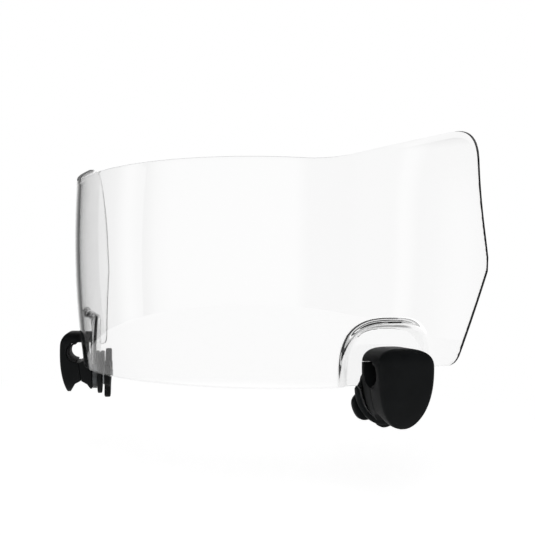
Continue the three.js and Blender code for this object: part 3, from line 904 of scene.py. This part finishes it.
# backing plate
plate = {
    "top": 5.5,
    "topHalfWidth": 9.0,
    "halfWidth": 12.6,
    "widestUp": -0.5,
    "tipUp": -15.3,
    "faceOut": -13.5,
    "recessOut": -12.3,  # bottom of the gasket's recess
    "sidePower": 1.9,
    "edgeRound": 0.6,
    "edgeSegments": 3,
    "edgeAngle": 38,
    "outlineSteps": 60,
}


def makePlate():
    count = plate["outlineSteps"]
    points = [(plate["topHalfWidth"], plate["top"]), (-plate["topHalfWidth"], plate["top"])]
    for i in range(count + 1):
        across = plate["halfWidth"] * math.sin(math.pi * (i / count - 0.5))
        share = roundShare(across / plate["halfWidth"], plate["sidePower"])
        points.append((across, mix(plate["widestUp"], plate["tipUp"], share)))
    block = outlineFace("plate", points, plate["faceOut"])
    extrudeOutline(block, seat["out"] - sheet["thickness"] - jaw["clearance"] - plate["faceOut"])
    cutBy(block, gasketRecess(plate["recessOut"], stud["outerEnd"]))
    tidyFaces(block)
    roundEdges(block, plate)
    cutBy(block, studWay(stud["outerEnd"]))
    return block


# thumb knob
knob = {
    "radius": 12.4,
    "notchDepth": 3.2,
    "notchPower": 2.5,
    "lobes": 4,
    "turns": {"left": 24.0, "right": 0.0},  # as the photograph shows them
    "outerFace": -14.7,
    "thickness": 3.0,
    "edgeRound": 0.7,
    "edgeSegments": 4,
    "edgeAngle": 50,
    "dishRadius": 6.4,
    "dishDepth": 0.6,
    "insertRadius": 3.9,
    "outlineSteps": 240,
    "cutPast": 5.0,  # how far the cuts run past the knob's faces
}


def makeKnob(turnedBy):
    points = []
    for i in range(knob["outlineSteps"]):
        turn = 2 * math.pi * i / knob["outlineSteps"]
        wave = (1 - math.cos(knob["lobes"] * (turn - math.radians(turnedBy)))) / 2
        radius = knob["radius"] - knob["notchDepth"] * wave ** knob["notchPower"]
        points.append((radius * math.cos(turn), stud["up"] + radius * math.sin(turn)))
    handFace = knob["outerFace"] - knob["thickness"]
    past = handFace - knob["cutPast"]
    body = outlineFace("knob", points, handFace)
    extrudeOutline(body, knob["thickness"])
    roundEdges(body, knob)
    cutBy(body, addCylinder("dish", knob["dishRadius"], past, handFace + knob["dishDepth"]))
    cutBy(body, addCylinder("bore", knob["insertRadius"], past, knob["outerFace"] + knob["cutPast"]))
    tidyFaces(body)
    return body


linerPiece, platePiece = makeLiner(), makePlate()
knobPieces = {sideName: makeKnob(turnedBy) for sideName, turnedBy in knob["turns"].items()}
print("small pieces made")

# both clamps: each piece with its node, finish, material slot, body and smoothing angle
clampPieces = [
    (outerJaw, "outer_jaw", "black", "black_nylon", "jaw_{}", 30),
    (innerJaw, "inner_jaw", "black", "black_nylon", "visor", 30),
    (linerPiece, "bar_liner", "rubber", "black_rubber", "jaw_{}", 35),
    (platePiece, "backing_plate", "grey", "grey_nylon", "visor", 30),
]
for side, sideName in ((1, "left"), (-1, "right")):
    knobPiece = (knobPieces[sideName], "thumb_knob", "black", "black_nylon", "knob_{}", 35)
    for piece, nodeStart, finish, slotName, body, angle in clampPieces + [knobPiece]:
        node = nodeStart + "_" + sideName
        placed = copyPiece(piece, "fine_" + node)
        placed.data.materials.append(finishes[finish])
        turnMesh(placed, clampMatrix(side))
        finishPiece(placed, placed.name, body.format(sideName), node, angle)
for piece in [entry[0] for entry in clampPieces] + list(knobPieces.values()):
    removePiece(piece)

# the CAD's own small pieces keep their shape and get a finish
smallNodes = {
    "outer_gasket": "rubber",
    "inner_gasket": "rubber",
    "clamp_stud": "steel",
    "thrust_washer": "steel",
    "knob_insert": "brass",
}
for nodeStart, finish in smallNodes.items():
    for sideName in ("left", "right"):
        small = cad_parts[nodeStart + "_" + sideName]
        small.data.materials.clear()
        small.data.materials.append(finishes[finish])
print("clamps dressed")

# studio
studio = {
    "floorUp": -48.0,
    "floorRadius": 420.0,
    "floorColor": "#dcdcdc",
    "floorLift": 0.8,  # how far it glows towards white for the camera and through the sheet
    "floorMirrored": 0.36,  # and in what mirrors it
    "fadeFrom": 0.45,  # shares of its radius over which it fades into the white behind
    "fadeTo": 0.98,
    "aim": (0, 0.03, 0.03),  # where the softboxes look, in metres as their sizes and places
    "softboxes": {
        "key_softbox": {"power": 1.6, "size": (0.6, 0.6), "place": (0.35, -0.5, 0.7)},
        "fill_softbox": {"power": 0.8, "size": (0.5, 0.8), "place": (-0.7, -0.3, 0.25)},
    },
    # the room by compass angle, in degrees from the wearer's left: a white wall behind, dark to the
    # wearer's right, and soft panels in front, which the sheet mirrors as its faint upright bands
    "roomBands": [
        (-180, 0.02), (-158, 0.03), (-151, 0.35), (-147, 0.47), (-141, 0.25), (-137, 0.18), (-130, 0.58),
        (-122, 0.74), (-58, 0.76), (-51, 0.42), (-30, 0.38), (-22, 0.46), (-4, 0.46), (0, 0.75), (4, 0.7),
        (9, 0.42), (17, 0.52), (24, 0.75), (60, 0.6), (92, 0.7), (106, 1.0), (142, 1.0), (152, 0.25),
        (160, 0.02), (180, 0.02),
    ],
    # and by how steeply one looks up or down, from 0 to 1
    "roomHeights": [(0.0, 1.0), (0.3, 1.0), (0.55, 0.25), (0.8, 0.12), (1.0, 0.3)],
    # what shows straight through the sheet, from straight down at -1 to straight up at 1: white, and dark
    # from a little above the level, where only a bent wall turns the view
    "throughHeights": [(-1.0, 1.0), (0.2, 1.0), (0.24, 0.2), (0.32, 0.03), (1.0, 0.03)],
}


def straightThrough(tree, ray):  # 1 for what shows through the sheet with no mirroring on the way
    plain = addNode(tree, "ShaderNodeMath", {"operation": "LESS_THAN", 1: 0.5}, {
        0: ray.outputs["Glossy Depth"],
    })
    through = addNode(tree, "ShaderNodeMath", {"operation": "MULTIPLY"}, {
        0: ray.outputs["Is Transmission Ray"], 1: plain.outputs[0],
    })
    return through.outputs[0]


def makeFloor():
    radius = studio["floorRadius"] * mm
    bpy.ops.mesh.primitive_circle_add(
        vertices=roundSides, radius=radius, fill_type="NGON", location=(0, 0, studio["floorUp"] * mm),
    )
    floor = bpy.context.object
    floor.name = "studio_floor"
    material, tree, shader, place = newMaterial("paleStudioFloor", {
        "Base Color": hexColor(studio["floorColor"]), "Roughness": 0.9, "Specular IOR Level": 0.1,
        "Emission Color": white,
    })
    ray = addNode(tree, "ShaderNodeLightPath")
    direct = addNode(tree, "ShaderNodeMath", {"operation": "MAXIMUM"}, {
        0: ray.outputs["Is Camera Ray"], 1: straightThrough(tree, ray),
    })
    mirrored = addNode(tree, "ShaderNodeMath", {"operation": "MULTIPLY", 1: studio["floorMirrored"]}, {
        0: ray.outputs["Is Glossy Ray"],
    })
    lift = addNode(tree, "ShaderNodeMath", {"operation": "MULTIPLY_ADD", 1: studio["floorLift"]}, {
        0: direct.outputs[0], 2: mirrored.outputs[0],
    })
    linkInputs(tree, shader, {"Emission Strength": lift.outputs[0]})
    # towards its rim the floor fades into the white behind it
    reach = addNode(tree, "ShaderNodeVectorMath", {"operation": "LENGTH"}, {0: place})
    fade = addNode(tree, "ShaderNodeMapRange", {
        "interpolation_type": "SMOOTHSTEP", "From Min": studio["fadeFrom"] * radius,
        "From Max": studio["fadeTo"] * radius,
    }, {"Value": reach.outputs["Value"]})
    part = addNode(tree, "ShaderNodeMath", {"operation": "MULTIPLY"}, {
        0: fade.outputs[0], 1: direct.outputs[0],
    })
    backdrop = addNode(tree, "ShaderNodeEmission", {"Color": white, "Strength": 1.0})
    both = addNode(tree, "ShaderNodeMixShader", None, {
        0: part.outputs[0], 1: shader.outputs[0], 2: backdrop.outputs[0],
    })
    linkInputs(tree, tree.nodes["Material Output"], {"Surface": both.outputs[0]})
    floor.data.materials.append(material)


def addSoftbox(name, power, size, place):
    data = bpy.data.lights.new(name, "AREA")
    data.shape = "RECTANGLE"
    data.size, data.size_y = size
    data.energy = power
    lamp = bpy.data.objects.new(name, data)
    bpy.context.scene.collection.objects.link(lamp)
    lamp.location = Vector(place)
    lamp.rotation_euler = (Vector(studio["aim"]) - lamp.location).to_track_quat("-Z", "Y").to_euler()
    lamp.visible_glossy = False


def makeWorld():
    world = bpy.data.worlds.new("studioWorld")
    bpy.context.scene.world = world
    world.use_nodes = True
    tree = world.node_tree
    tree.nodes.clear()
    ray = addNode(tree, "ShaderNodeLightPath")
    way = addNode(tree, "ShaderNodeTexCoord").outputs["Generated"]
    split = addNode(tree, "ShaderNodeSeparateXYZ", None, {0: way})
    compass = addNode(tree, "ShaderNodeMath", {"operation": "ARCTAN2"}, {
        0: split.outputs["Y"], 1: split.outputs["X"],
    })
    turn = addNode(tree, "ShaderNodeMapRange", {"From Min": -math.pi, "From Max": math.pi}, {
        "Value": compass.outputs[0],
    })
    room = addNode(tree, "ShaderNodeValToRGB", {
        "stops": greyStops([((angle + 180) / 360, level) for angle, level in studio["roomBands"]]),
    }, {"Fac": turn.outputs[0]})
    steep = addNode(tree, "ShaderNodeMath", {"operation": "ABSOLUTE"}, {0: split.outputs["Z"]})
    height = addNode(tree, "ShaderNodeValToRGB", {"stops": greyStops(studio["roomHeights"])}, {
        "Fac": steep.outputs[0],
    })
    around = addNode(tree, "ShaderNodeBackground", None, {
        "Color": room.outputs["Color"], "Strength": height.outputs["Color"],
    })
    rise = addNode(tree, "ShaderNodeMapRange", {"From Min": -1.0, "From Max": 1.0}, {
        "Value": split.outputs["Z"],
    })
    clear = addNode(tree, "ShaderNodeValToRGB", {
        "stops": greyStops([((z + 1) / 2, level) for z, level in studio["throughHeights"]]),
    }, {"Fac": rise.outputs[0]})
    beyond = addNode(tree, "ShaderNodeBackground", {"Color": white}, {"Strength": clear.outputs["Color"]})
    soft = addNode(tree, "ShaderNodeMixShader", None, {
        0: straightThrough(tree, ray), 1: around.outputs[0], 2: beyond.outputs[0],
    })
    backdrop = addNode(tree, "ShaderNodeBackground", {"Color": white, "Strength": 1.0})
    both = addNode(tree, "ShaderNodeMixShader", None, {
        0: ray.outputs["Is Camera Ray"], 1: soft.outputs[0], 2: backdrop.outputs[0],
    })
    addNode(tree, "ShaderNodeOutputWorld", None, {"Surface": both.outputs[0]})


makeFloor()
makeWorld()
for name, values in studio["softboxes"].items():
    addSoftbox(name, **values)
bpy.context.scene.view_settings.view_transform = "Standard"
print("studio lit")
